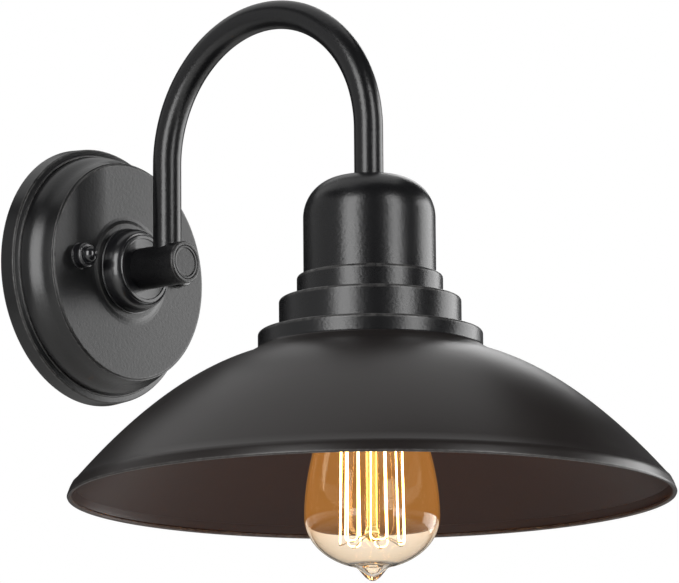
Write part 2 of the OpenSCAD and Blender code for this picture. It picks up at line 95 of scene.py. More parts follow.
def buildCamera(setup):
    back = direction(setup["azimuth"], setup["elevation"])
    data = bpy.data.cameras.new("camera")
    data.lens = setup["lens"]
    data.clip_start, data.clip_end = 0.05, 50
    camera = bpy.data.objects.new("camera", data)
    addToScene(camera)
    camera.rotation_mode = "QUATERNION"
    camera.location = Vector(setup["aim"]) + back * setup["distance"]
    turn = Matrix.Rotation(math.radians(setup["roll"]), 4, "Z")
    aimed = (-back).to_track_quat("-Z", "Y").to_matrix().to_4x4()
    camera.rotation_quaternion = (aimed @ turn).to_quaternion()
    bpy.context.scene.camera = camera


def softbox(name, azimuth, elevation, distance, width, height, watts):
    # a rectangle of light that faces the cup
    away = direction(azimuth, elevation)
    data = bpy.data.lights.new(name, "AREA")
    data.shape = "RECTANGLE"
    data.size, data.size_y = width, height
    data.energy = watts
    lamp = bpy.data.objects.new(name, data)
    lamp.location = Vector(studio["litPoint"]) + away * distance
    lamp.rotation_euler = (-away).to_track_quat("-Z", "Y").to_euler()
    lamp.visible_camera = False
    addToScene(lamp)


def paleFloor():
    # a bright sheet from above, and clear from below; it lends the lantern no extra light
    paint = bpy.data.materials.new("paleFloor")
    paint.use_nodes = True
    tree = paint.node_tree
    shader = tree.nodes["Principled BSDF"]
    shader.inputs["Base Color"].default_value = (0.8, 0.8, 0.79, 1)
    shader.inputs["Roughness"].default_value = 0.9
    shader.inputs["Emission Color"].default_value = (0.62, 0.62, 0.61, 1)
    path = tree.nodes.new("ShaderNodeLightPath")
    tree.links.new(path.outputs["Is Camera Ray"], shader.inputs["Emission Strength"])
    side = tree.nodes.new("ShaderNodeNewGeometry")
    clear = tree.nodes.new("ShaderNodeBsdfTransparent")
    mix = tree.nodes.new("ShaderNodeMixShader")
    tree.links.new(side.outputs["Backfacing"], mix.inputs["Fac"])
    tree.links.new(shader.outputs[0], mix.inputs[1])
    tree.links.new(clear.outputs[0], mix.inputs[2])
    tree.links.new(mix.outputs[0], tree.nodes["Material Output"].inputs["Surface"])
    return paint


def buildStudio(setup):
    for box in softboxes:
        softbox(*box)
    world = bpy.data.worlds.new("studio")
    bpy.context.scene.world = world
    world.use_nodes = True
    tree = world.node_tree
    tree.nodes.clear()
    path = tree.nodes.new("ShaderNodeLightPath")
    seen = tree.nodes.new("ShaderNodeBackground")
    seen.inputs["Strength"].default_value = setup["seen"]
    seen.inputs["Color"].default_value = (1, 1, 1, 1)
    around = tree.nodes.new("ShaderNodeBackground")
    around.inputs["Strength"].default_value = setup["surround"]
    around.inputs["Color"].default_value = (0.95, 0.97, 1, 1)
    mix = tree.nodes.new("ShaderNodeMixShader")
    out = tree.nodes.new("ShaderNodeOutputWorld")
    either = tree.nodes.new("ShaderNodeMath")
    either.operation = "MAXIMUM"
    tree.links.new(path.outputs["Is Camera Ray"], either.inputs[0])
    tree.links.new(path.outputs["Is Transmission Ray"], either.inputs[1])
    tree.links.new(either.outputs[0], mix.inputs["Fac"])
    tree.links.new(around.outputs[0], mix.inputs[1])
    tree.links.new(seen.outputs[0], mix.inputs[2])
    tree.links.new(mix.outputs[0], out.inputs["Surface"])
    bpy.context.scene.view_settings.view_transform = "Standard"
    mesh = bpy.data.meshes.new("floor")
    half, low = setup["floorHalf"], -setup["floorDrop"]
    corners = [(-half, -half, low), (half, -half, low), (half, half, low), (-half, half, low)]
    mesh.from_pydata(corners, [], [(0, 1, 2, 3)])
    floor = bpy.data.objects.new("floor", mesh)
    addToScene(floor)
    mesh.materials.append(paleFloor())


buildCamera(cameraSetup)
buildStudio(studio)
print("camera and studio ready")


def newGroup(name, inputs, outputs):
    group = bpy.data.node_groups.new(name, "ShaderNodeTree")
    for label, value in inputs:
        socket = group.interface.new_socket(name=label, in_out="INPUT", socket_type="NodeSocketFloat")
        socket.default_value = value
    for label, kind in outputs:
        group.interface.new_socket(name=label, in_out="OUTPUT", socket_type=kind)
    return group, group.nodes.new("NodeGroupInput"), group.nodes.new("NodeGroupOutput")


def calc(tree, operation, first, second=None, third=None, clamp=False):
    # one Math node; numbers are set, sockets are linked
    node = tree.nodes.new("ShaderNodeMath")
    node.operation = operation
    node.use_clamp = clamp
    for slotIndex, value in enumerate((first, second, third)):
        if value is None:
            continue
        if isinstance(value, (int, float)):
            node.inputs[slotIndex].default_value = value
        else:
            tree.links.new(value, node.inputs[slotIndex])
    return node.outputs[0]


def noise(tree, vector, scale, detail=2.0, rough=0.5):
    node = tree.nodes.new("ShaderNodeTexNoise")
    node.inputs["Detail"].default_value = detail
    node.inputs["Roughness"].default_value = rough
    tree.links.new(vector, node.inputs["Vector"])
    if isinstance(scale, (int, float)):
        node.inputs["Scale"].default_value = scale
    else:
        tree.links.new(scale, node.inputs["Scale"])
    return node.outputs["Fac"]


def objectPoint(tree):
    return tree.nodes.new("ShaderNodeTexCoord").outputs["Object"]


def powderGroup():
    # cured powder: orange peel, a fine grit over it, and slow clouds of tone
    group, given, made = newGroup(
        "powderCoat", [("Peel Scale", 620), ("Grit Scale", 3400), ("Cloud Scale", 14)],
        [("Height", "NodeSocketFloat"), ("Tone", "NodeSocketFloat"), ("Sheen Shift", "NodeSocketFloat")])
    point = objectPoint(group)
    peel = noise(group, point, given.outputs["Peel Scale"], 3, 0.45)
    grit = noise(group, point, given.outputs["Grit Scale"], 1)
    cloud = noise(group, point, given.outputs["Cloud Scale"], 4, 0.6)
    height = calc(group, "MULTIPLY_ADD", grit, 0.22, peel)
    tone = calc(group, "MULTIPLY_ADD", cloud, 0.7, calc(group, "MULTIPLY", grit, 0.3))
    group.links.new(height, made.inputs["Height"])
    group.links.new(tone, made.inputs["Tone"])
    group.links.new(calc(group, "SUBTRACT", cloud, 0.5), made.inputs["Sheen Shift"])
    return group


def wearGroup():
    # rubbed edges: the edgeWear attribute, broken up by noise
    group, given, made = newGroup(
        "edgeRub", [("Amount", 0.5), ("Break Scale", 320)], [("Mask", "NodeSocketFloat")])
    edge = group.nodes.new("ShaderNodeAttribute")
    edge.attribute_name = "edgeWear"
    patches = noise(group, objectPoint(group), given.outputs["Break Scale"], 5, 0.65)
    lifted = calc(group, "SUBTRACT", patches, 0.32)
    rubbed = calc(group, "MULTIPLY", calc(group, "MULTIPLY", lifted, 2.6, clamp=True), edge.outputs["Fac"])
    mask = calc(group, "MULTIPLY", rubbed, given.outputs["Amount"], clamp=True)
    group.links.new(mask, made.inputs["Mask"])
    return group


def brushedGroup():
    # rolled or plated metal: fine drag lines along one axis, plus blotches of plating
    group, given, made = newGroup(
        "rolledMetal", [("Line Scale", 900), ("Blotch Scale", 90), ("Stretch", 0.05)],
        [("Height", "NodeSocketFloat"), ("Tone", "NodeSocketFloat")])
    point = objectPoint(group)
    stretch = group.nodes.new("ShaderNodeVectorMath")
    stretch.operation = "MULTIPLY"
    along = group.nodes.new("ShaderNodeCombineXYZ")
    group.links.new(given.outputs["Stretch"], along.inputs["X"])
    along.inputs["Y"].default_value = 1
    along.inputs["Z"].default_value = 1
    group.links.new(point, stretch.inputs[0])
    group.links.new(along.outputs[0], stretch.inputs[1])
    lines = noise(group, stretch.outputs[0], given.outputs["Line Scale"], 3, 0.6)
    blotch = noise(group, point, given.outputs["Blotch Scale"], 4, 0.6)
    group.links.new(calc(group, "MULTIPLY_ADD", lines, 0.7, calc(group, "MULTIPLY", blotch, 0.3)),
                    made.inputs["Height"])
    group.links.new(calc(group, "MULTIPLY_ADD", blotch, 0.7, calc(group, "MULTIPLY", lines, 0.3)),
                    made.inputs["Tone"])
    return group


shared = {"powder": powderGroup(), "rub": wearGroup(), "rolled": brushedGroup()}


class Finish:
    # a material with its Principled shader and the few links that every finish needs

    def __init__(self, name):
        self.material = bpy.data.materials.new(name)
        self.material.use_nodes = True
        self.tree = self.material.node_tree
        self.shader = self.tree.nodes["Principled BSDF"]

    def group(self, key, **values):
        node = self.tree.nodes.new("ShaderNodeGroup")
        node.node_tree = shared[key]
        for label, value in values.items():
            node.inputs[label.replace("_", " ")].default_value = value
        return node

    def plain(self, **values):
        for label, value in values.items():
            self.shader.inputs[label.replace("_", " ")].default_value = value

    def ramp(self, mask, stops):
        node = self.tree.nodes.new("ShaderNodeValToRGB")
        while len(node.color_ramp.elements) < len(stops):
            node.color_ramp.elements.new(0.5)
        for element, (place, colour) in zip(node.color_ramp.elements, stops):
            element.position = place
            element.color = (*colour, 1)
        self.tree.links.new(mask, node.inputs["Fac"])
        return node.outputs["Color"]

    def blend(self, mask, first, second):
        node = self.tree.nodes.new("ShaderNodeMix")
        node.data_type = "RGBA"
        self.tree.links.new(mask, node.inputs["Factor"])
        for socket, value in ((node.inputs["A"], first), (node.inputs["B"], second)):
            if isinstance(value, tuple):
                socket.default_value = (*value, 1)
            else:
                self.tree.links.new(value, socket)
        return node.outputs["Result"]

    def colour(self, source):
        self.tree.links.new(source, self.shader.inputs["Base Color"])

    def roughness(self, mask, low, high):
        node = self.tree.nodes.new("ShaderNodeMapRange")
        node.inputs["To Min"].default_value = low
        node.inputs["To Max"].default_value = high
        self.tree.links.new(mask, node.inputs["Value"])
        self.tree.links.new(node.outputs["Result"], self.shader.inputs["Roughness"])

    def bump(self, height, strength, distance):
        node = self.tree.nodes.new("ShaderNodeBump")
        node.inputs["Strength"].default_value = strength
        node.inputs["Distance"].default_value = distance
        self.tree.links.new(height, node.inputs["Height"])
        self.tree.links.new(node.outputs["Normal"], self.shader.inputs["Normal"])


def powderPaint(name, dark, light, rough, rub, peel=0.2, bare=(0.16, 0.155, 0.15), shine=0.5):
    # baked powder paint with thin spots rubbed back on the edges
    finish = Finish(name)
    powder = finish.group("powder")
    wear = finish.group("rub", Amount=rub)
    coat = finish.ramp(powder.outputs["Tone"], [(0.25, dark), (0.75, light)])
    finish.colour(finish.blend(wear.outputs["Mask"], coat, bare))
    finish.roughness(powder.outputs["Tone"], rough - 0.05, rough + 0.07)
    finish.bump(powder.outputs["Height"], peel, 0.0003)
    finish.plain(Specular_IOR_Level=shine)
    return finish.material


def enamel(name, dark, light, rough):
    # sprayed gloss over a turned part: a fine peel under a thin clear coat
    finish = Finish(name)
    powder = finish.group("powder", Peel_Scale=380.0, Cloud_Scale=60.0)
    wear = finish.group("rub", Amount=0.35)
    coat = finish.ramp(powder.outputs["Tone"], [(0.3, dark), (0.7, light)])
    finish.colour(finish.blend(wear.outputs["Mask"], coat, (0.12, 0.12, 0.12)))
    finish.roughness(powder.outputs["Tone"], rough - 0.03, rough + 0.05)
    finish.bump(powder.outputs["Height"], 0.05, 0.0003)
    finish.plain(Coat_Weight=0.4, Coat_Roughness=0.08)
    return finish.material


def plate(name, dark, light, rough, lineScale=900.0, stretch=0.05, metal=1.0):
    finish = Finish(name)
    rolled = finish.group("rolled", Line_Scale=lineScale, Stretch=stretch)
    wear = finish.group("rub", Amount=0.4)
    coat = finish.ramp(rolled.outputs["Tone"], [(0.25, dark), (0.75, light)])
    finish.colour(finish.blend(wear.outputs["Mask"], coat, tuple(min(1, c * 1.25) for c in light)))
    finish.roughness(rolled.outputs["Tone"], rough - 0.08, rough + 0.1)
    finish.bump(rolled.outputs["Height"], 0.12, 0.0002)
    finish.plain(Metallic=metal)
    return finish.material


def rubber(name, dark, light, cellScale, depth):
    # foam or silicone: small open cells and a dusty tone
    finish = Finish(name)
    point = objectPoint(finish.tree)
    cells = finish.tree.nodes.new("ShaderNodeTexVoronoi")
    cells.inputs["Scale"].default_value = cellScale
    finish.tree.links.new(point, cells.inputs["Vector"])
    dust = noise(finish.tree, point, 60, 4)
    finish.colour(finish.ramp(dust, [(0.3, dark), (0.7, light)]))
    finish.roughness(dust, 0.7, 0.9)
    finish.bump(cells.outputs["Distance"], 0.5, depth)
    return finish.material


def glazed(name):
    # fired glaze: creamy, a few iron specks, long soft waves under the shine
    finish = Finish(name)
    point = objectPoint(finish.tree)
    wave = noise(finish.tree, point, 60, 3)
    speck = noise(finish.tree, point, 900, 1)
    body = finish.ramp(wave, [(0.3, (0.62, 0.59, 0.52)), (0.7, (0.74, 0.71, 0.65))])
    spots = calc(finish.tree, "GREATER_THAN", speck, 0.78)
    finish.colour(finish.blend(spots, body, (0.30, 0.25, 0.18)))
    finish.roughness(wave, 0.12, 0.24)
    finish.bump(wave, 0.15, 0.0008)
    finish.plain(Coat_Weight=0.6, Coat_Roughness=0.06)
    return finish.material


def braid(name, dark, light):
    # varnished fibreglass sleeve: two sets of crossing threads
    finish = Finish(name)
    point = objectPoint(finish.tree)
    threads = []
    for lean in (0.75, -0.75):
        wave = finish.tree.nodes.new("ShaderNodeTexWave")
        wave.inputs["Scale"].default_value = 420
        wave.inputs["Distortion"].default_value = 0.6
        turn = finish.tree.nodes.new("ShaderNodeMapping")
        turn.inputs["Rotation"].default_value = (lean, lean, 0)
        finish.tree.links.new(point, turn.inputs["Vector"])
        finish.tree.links.new(turn.outputs[0], wave.inputs["Vector"])
        threads.append(wave.outputs["Fac"])
    cross = calc(finish.tree, "MAXIMUM", *threads)
    finish.colour(finish.ramp(cross, [(0.2, dark), (0.8, light)]))
    finish.roughness(cross, 0.75, 0.5)
    finish.bump(cross, 0.6, 0.0002)
    return finish.material


# heights in metres over which the painted glow of lamplight on the glass fades in, from none to full
paintedGlowFades = {"dark": -0.153, "lit": -0.136}


def glassSkin(name, tint, edgeTint, glow, paintedFaceGlow, paintedEdgeGlow):
    # thin blown glass; the wall looks deeper where it is seen edge-on, and a painted glow of lamplight is
    # laid on it there, fading out below a set height
    finish = Finish(name)
    tree = finish.tree
    facing = tree.nodes.new("ShaderNodeLayerWeight")
    facing.inputs["Blend"].default_value = 0.35
    streak = noise(tree, objectPoint(tree), 45, 3)
    finish.colour(finish.blend(facing.outputs["Facing"], tint, edgeTint))
    finish.bump(streak, 0.05, 0.0008)
    finish.roughness(streak, 0.0, 0.03)
    # glow is the colour of the painted lamplight glow that the glass itself emits
    finish.plain(Transmission_Weight=1.0, IOR=1.3, Emission_Color=(*glow, 1))
    height = tree.nodes.new("ShaderNodeSeparateXYZ")
    tree.links.new(objectPoint(tree), height.inputs[0])
    beside = tree.nodes.new("ShaderNodeMapRange")
    beside.interpolation_type = "SMOOTHSTEP"
    beside.inputs["From Min"].default_value = paintedGlowFades["dark"]
    beside.inputs["From Max"].default_value = paintedGlowFades["lit"]
    tree.links.new(height.outputs["Z"], beside.inputs["Value"])
    # painted glow: emission on the glass wall, which is no lamp, stronger edge-on and only above the fade
    # height
    edge = calc(tree, "POWER", facing.outputs["Facing"], 2.0)
    lit = calc(tree, "MULTIPLY_ADD", edge, paintedEdgeGlow - paintedFaceGlow, paintedFaceGlow)
    lit = calc(tree, "MULTIPLY", lit, beside.outputs["Result"])
    tree.links.new(lit, finish.shader.inputs["Emission Strength"])
    path = tree.nodes.new("ShaderNodeLightPath")
    clear = tree.nodes.new("ShaderNodeBsdfTransparent")
    clear.inputs["Color"].default_value = (*tint, 1)
    mix = tree.nodes.new("ShaderNodeMixShader")
    out = tree.nodes["Material Output"]
    tree.links.new(path.outputs["Is Shadow Ray"], mix.inputs["Fac"])
    tree.links.new(finish.shader.outputs[0], mix.inputs[1])
    tree.links.new(clear.outputs[0], mix.inputs[2])
    tree.links.new(mix.outputs[0], out.inputs["Surface"])
    return finish.material


def glowing(name, cool, hot, strength):
    # a thread that burns a little unevenly along its length
    finish = Finish(name)
    uneven = noise(finish.tree, objectPoint(finish.tree), 120, 3)
    warm = finish.ramp(uneven, [(0.3, cool), (0.7, hot)])
    finish.tree.links.new(warm, finish.shader.inputs["Emission Color"])
    finish.colour(warm)
    finish.plain(Emission_Strength=strength, Roughness=0.6)
    return finish.material


finishes = {
    "satinBlack": powderPaint("satinBlack", (0.0022, 0.0022, 0.0026), (0.0042, 0.0042, 0.0048), 0.27,
                              0.3, 0.24),
    "canopyBlack": powderPaint("canopyBlack", (0.0022, 0.0022, 0.0025), (0.0044, 0.0044, 0.0048), 0.29,
                               0.35, 0.18),
    "shadeBlack": powderPaint("shadeBlack", (0.0064, 0.0046, 0.0041), (0.0100, 0.0076, 0.0070), 0.32,
                              0.3, 0.06),
    # the inside of the shade is painted warm brown, a painted glow of lamplight on black paint
    "shadeInsidePaintedWarmth": powderPaint("shadeInsidePaintedWarmth", (0.013, 0.0068, 0.0056), (0.021, 0.0118, 0.0098), 0.36,
                               0.5, 0.1, shine=0.22),
    "collarBlack": enamel("collarBlack", (0.003, 0.003, 0.004), (0.006, 0.006, 0.007), 0.30),
    "glossBlack": enamel("glossBlack", (0.004, 0.004, 0.005), (0.008, 0.008, 0.009), 0.2),
    "foam": rubber("foam", (0.018, 0.018, 0.018), (0.03, 0.03, 0.029), 1400, 0.0004),
    "silicone": rubber("silicone", (0.012, 0.012, 0.012), (0.02, 0.02, 0.02), 2600, 0.0001),
    "zinc": plate("zinc", (0.36, 0.37, 0.38), (0.62, 0.63, 0.62), 0.34),
    "greenZinc": plate("greenZinc", (0.03, 0.16, 0.06), (0.07, 0.30, 0.12), 0.32, metal=0.6),
    "nippleBrass": plate("nippleBrass", (0.48, 0.33, 0.12), (0.70, 0.52, 0.24), 0.3),
    "stampedBrass": plate("stampedBrass", (0.52, 0.36, 0.13), (0.74, 0.56, 0.26), 0.26, 500.0),
    "baseBrass": plate("baseBrass", (0.50, 0.36, 0.16), (0.72, 0.56, 0.30), 0.28, 260.0, 1.0),
    "solder": plate("solder", (0.34, 0.34, 0.33), (0.52, 0.52, 0.50), 0.5, 300.0, 1.0),
    "wire": plate("wire", (0.22, 0.21, 0.19), (0.40, 0.38, 0.35), 0.4),
    "copper": plate("copper", (0.45, 0.18, 0.08), (0.70, 0.34, 0.18), 0.35),
    "porcelain": glazed("porcelain"),
    "blackBraid": braid("blackBraid", (0.008, 0.008, 0.008), (0.05, 0.05, 0.05)),
    "whiteBraid": braid("whiteBraid", (0.42, 0.39, 0.33), (0.72, 0.69, 0.62)),
    "greenBraid": braid("greenBraid", (0.02, 0.12, 0.04), (0.07, 0.30, 0.12)),
    "vitrite": enamel("vitrite", (0.004, 0.004, 0.006), (0.010, 0.009, 0.012), 0.12),
    # both glasses carry a painted glow of lamplight: the glow colour and the two numbers after it
    "amberGlass": glassSkin("amberGlass", (0.975, 0.915, 0.83), (0.90, 0.70, 0.46), (1.0, 0.42, 0.08),
                            0.085, 0.10),
    "stemGlass": glassSkin("stemGlass", (1.0, 0.93, 0.62), (0.95, 0.75, 0.30), (1.0, 0.80, 0.22), 0.30,
                           0.60),
    "filament": glowing("filament", (1.0, 0.50, 0.14), (1.0, 0.68, 0.30), 16),
}
print("materials:", len(finishes))


def rounded(corners, convexSide=1, steps=4):
    # corners are (radius, height, fillet); each fillet is an arc, and outer arcs carry edge wear
    outline = []
    count = len(corners)
    for index, (r, h, fillet) in enumerate(corners):
        here = Vector((r, h))
        if fillet <= 0:
            outline.append((r, h, 0.0))
            continue
        before = Vector(corners[index - 1][:2]) - here
        after = Vector(corners[(index + 1) % count][:2]) - here
        angle = before.angle(after)
        reach = min(fillet / math.tan(angle / 2), before.length * 0.49, after.length * 0.49)
        radius = reach * math.tan(angle / 2)
        start, end = here + before.normalized() * reach, here + after.normalized() * reach
        inward = (before.normalized() + after.normalized()).normalized()
        centre = here + inward * radius / math.sin(angle / 2)
        cross = before.x * after.y - before.y * after.x
        worn = 1.0 if cross * convexSide < 0 and radius < 2.5 else 0.0
        swing = math.pi - angle
        first = start - centre
        sign = 1 if first.x * (end - centre).y - first.y * (end - centre).x > 0 else -1
        if worn:
            guard = here + before.normalized() * min(reach + 0.5, before.length * 0.495)
            outline.append((guard.x, guard.y, 0.0))
        for step in range(steps + 1):
            turn = Matrix.Rotation(sign * swing * step / steps, 2)
            point = centre + turn @ first
            outline.append((point.x, point.y, worn))
        if worn:
            guard = here + after.normalized() * min(reach + 0.5, after.length * 0.495)
            outline.append((guard.x, guard.y, 0.0))
    return outline


def arc(cr, ch, rr, rh, first, last, steps):
    # points on an ellipse quarter, in degrees, with no fillet of their own
    points = []
    for step in range(steps + 1):
        a = math.radians(first + (last - first) * step / steps)
        points.append((cr + rr * math.cos(a), ch + rh * math.sin(a), 0))
    return points


def newPiece(name, mesh, body, material, replaced):
    piece = bpy.data.objects.new(name, mesh)
    addToScene(piece)
    if not mesh.materials:
        mesh.materials.append(finishes[material])
    for polygon in mesh.polygons:
        polygon.use_smooth = True
    mesh.set_sharp_from_angle(angle=math.radians(38))
    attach(piece, body)
    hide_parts(*replaced)
    return piece


def spin(name, outline, place, segments=160, ripple=None, finishOf=None, materials=()):
    # revolves a closed outline of (radius, height, wear); points on the axis close into poles
    work = bmesh.new()
    wear = work.verts.layers.float.new("edgeWear")
    rings = []
    for index, (r, h, worn) in enumerate(outline):
        ring = []
        for step in range(1 if r < 1e-6 else segments):
            a = 2 * math.pi * step / segments
            rr = r + (ripple(a, h, r) if ripple else 0)
            vertex = work.verts.new(place(rr * math.cos(a), rr * math.sin(a), h))
            vertex[wear] = worn
            ring.append(vertex)
        rings.append(ring)
    for index, ring in enumerate(rings):
        following = rings[(index + 1) % len(rings)]
        if len(ring) == 1 and len(following) == 1:
            continue
        for step in range(segments):
            after = (step + 1) % segments
            if len(ring) == 1:
                face = work.faces.new((ring[0], following[after], following[step]))
            elif len(following) == 1:
                face = work.faces.new((ring[step], ring[after], following[0]))
            else:
                face = work.faces.new((ring[step], ring[after], following[after], following[step]))
            if finishOf:
                face.material_index = finishOf(index)
    bmesh.ops.recalc_face_normals(work, faces=work.faces)
    mesh = bpy.data.meshes.new(name)
    work.to_mesh(mesh)
    work.free()
    for key in materials:
        mesh.materials.append(finishes[key])
    return mesh


def drill(piece, holes, place, low, high):
    # cuts round holes along the turned axis
    for x, y, r in holes:
        rod = [(0, low, 0), (r, low, 0), (r, high, 0), (0, high, 0)]
        shifted = lambda px, py, h: place(x + px, y + py, h)
        tool = bpy.data.objects.new("drill", spin("drill", rod, shifted, 48))
        addToScene(tool)
        cut = piece.modifiers.new("hole", "BOOLEAN")
        cut.operation, cut.object, cut.solver = "DIFFERENCE", tool, "EXACT"
        applyModifiers(piece)
        bpy.data.objects.remove(tool)


def applyModifiers(piece):
    depsgraph = bpy.context.evaluated_depsgraph_get()
    mesh = bpy.data.meshes.new_from_object(piece.evaluated_get(depsgraph))
    piece.modifiers.clear()
    piece.data = mesh


# Half sections are (radius, height, fillet).
canopyShape = {"sheet": 1.2, "band": 8.0, "face": 53.7, "boss": 0.9, "studSpacing": 69.85, "studRise": 3.0,
               "centreHole": 6.2, "studHole": 2.6}
hubFoot = canopyDepth + canopyShape["boss"]


def canopyOutside():
    # a band, a flat ledge with a raised lip, a shallow ogee, and a bead under the edge of the front
    r, face, band, depth = canopyR, canopyShape["face"], canopyShape["band"], canopyDepth
    return [(r, 0, 0.2), (r - 0.6, band - 0.7, 0.5), (r - 1.2, band, 0.35), (r - 3.55, band + 0.5, 0.2),
            (r - 3.9, band + 1.0, 0.25), (r - 4.4, band + 1.0, 0.25), (r - 4.8, band + 0.6, 0.2),
            (r - 4.85, 11, 0), (r - 5.1, 12.8, 0), (r - 5.7, 14.6, 0), (r - 6.6, 16.3, 0),
            (face + 3.0, 17.9, 0), (face + 2.3, 19.4, 0), (face + 1.75, 21, 0),
            (face + 1.25, depth - 2.6, 0), (face + 0.9, depth - 1.6, 0.4), (face + 0.7, depth - 0.8, 0.35),
            (face + 0.1, depth - 0.7, 0.12), (face - 0.35, depth, 0.6)]


def canopyInside():
    r, face, band, depth = canopyR, canopyShape["face"], canopyShape["band"], canopyDepth
    return [(r - 1.2, 0, 0), (r - 1.8, band - 1.6, 0.6), (r - 4.6, band - 0.8, 0.5),
            (r - 6.0, band + 0.4, 0.5), (r - 6.1, 11, 0), (r - 6.35, 12.5, 0), (r - 6.9, 14, 0),
            (r - 7.8, 15.6, 0), (face + 1.8, 17.4, 0), (face + 1.15, 19, 0), (face + 0.6, 20.7, 0),
            (face + 0.1, depth - 2.8, 0.6), (face - 0.6, depth - 1.2, 0.5)]


def bossSide(t):
    return [(27.2, canopyDepth - t, 2.5), (25.6, canopyDepth + 0.2 - t, 1.2),
            (23.8, hubFoot - 0.15 - t, 1.0), (22.6, hubFoot - t, 0)]


def buildCanopy():
    shape = canopyShape
    corners = canopyOutside() + bossSide(0)
    corners += [(shape["centreHole"], hubFoot, 0), (shape["centreHole"], hubFoot - shape["sheet"], 0)]
    corners += list(reversed(bossSide(shape["sheet"]))) + list(reversed(canopyInside()))
    mesh = spin("canopyShell", rounded(corners), offWall(), 220)
    piece = newPiece("canopyShell", mesh, "lantern", "canopyBlack", ["canopy"])
    half = shape["studSpacing"] / 2
    holes = [(side * half, shape["studRise"], shape["studHole"]) for side in (-1, 1)]
    drill(piece, holes, offWall(), 15, 40)


nutShape = {"foot": 25.45, "flangeR": 6.65, "waistR": 6.2, "shoulder": 6.0, "ball": 6.6, "ballR": 4.05,
            "bore": 2.15, "boreTop": 33.1}


def buildCapNut(name, body, x, node):
    # a flange, a straight body with a soft shoulder, and a ball
    shape = nutShape
    foot = shape["foot"]
    shoulder, ball = foot + shape["shoulder"], foot + shape["ball"]
    corners = [(shape["bore"], foot, 0), (shape["flangeR"] - 0.35, foot, 0.15),
               (shape["flangeR"], foot + 0.35, 0.2), (shape["flangeR"], foot + 0.95, 0.25),
               (shape["waistR"], foot + 1.3, 0.25), (shape["waistR"], shoulder, 1.1),
               (4.0, shoulder, 0.25)]
    corners += arc(0, ball, shape["ballR"], shape["ballR"], -6, 80, 14)
    corners += [(0, ball + shape["ballR"], 0), (0, shape["boreTop"], 0),
                (shape["bore"], shape["boreTop"], 0)]
    place = offWall(x, canopyShape["studRise"])
    mesh = spin(name, rounded(corners), place, 72)
    newPiece(name, mesh, body, "glossBlack", [node])


hubShape = {"bore": 6.2, "footR": 21.1, "end": 36.5}


def buildHub():
    foot, bore, footR, end = hubFoot, hubShape["bore"], hubShape["footR"], hubShape["end"]
    corners = [(bore, foot, 0), (footR, foot, 0.2), (footR + 0.35, foot + 0.7, 0.3)]
    corners += arc(16.9, foot + 0.9, 3.9, 9.0, 0, 76, 12)
    corners += [(17.0, end - 0.4, 0.2), (16.6, end + 0.3, 0.25), (15.3, end + 0.3, 0.2), (15.0, end, 0.15),
                (bore, end, 0)]
    mesh = spin("hubCollar", rounded(corners), offWall(), 160)
    newPiece("hubCollar", mesh, "lantern", "collarBlack", ["hub_collar"])


buildCanopy()
buildHub()
nutReach = canopyShape["studSpacing"] / 2
buildCapNut("capNutLeft", "left_cap_nut", -nutReach, "cap_nut_left")
buildCapNut("capNutRight", "right_cap_nut", nutReach, "cap_nut_right")
print("canopy, collar and cap nuts made")

cupShape = {"r": 31.6, "top": 25.5, "shoulder": 19.6, "foot": -22.35, "bore": 5.15, "sheet": 1.2}
shadeShape = {"steps": [(34.8, -22.4), (43.4, -33.7), (53.5, -49.6)], "foot": -59.3,
              "crease": (141.1, -122.3), "mouth": (144.0, -128.8), "sheet": 1.2, "neck": 22.0,
              "screwAt": 27.0, "skirtRows": 28}


def buildCup():
    shape = cupShape

    def side(t):
        return arc(12, shape["top"] - shape["shoulder"] - 0.2, shape["r"] - 12 - t, shape["shoulder"] - t,
                   0, 90, 22)

    corners = [(shape["r"] - shape["sheet"], shape["foot"], 0), (shape["r"], shape["foot"], 0.25)] + side(0)
    corners += [(8.2, shape["top"], 0), (shape["bore"], shape["top"], 0),
                (shape["bore"], shape["top"] - shape["sheet"], 0)]
    corners += reversed(side(shape["sheet"]))
    mesh = spin("cupDome", rounded(corners), onLamp, 192)
    newPiece("cupDome", mesh, "lantern", "satinBlack", ["socket_cup"])


def skirt(u, t):
    # the sweep from the lowest step to the crease, u from 0 to 1
    (r1, z1), (r0, z0) = shadeShape["crease"], (shadeShape["steps"][2][0] + 4, shadeShape["foot"] - 1.6)
    lean = math.radians(13 + 30 * u)
    height = z0 + (z1 - z0) * (0.36 * u + 0.64 * u ** 1.9)
    return (r0 + (r1 - r0) * u - t * math.sin(lean), height - t * math.cos(lean), 0)


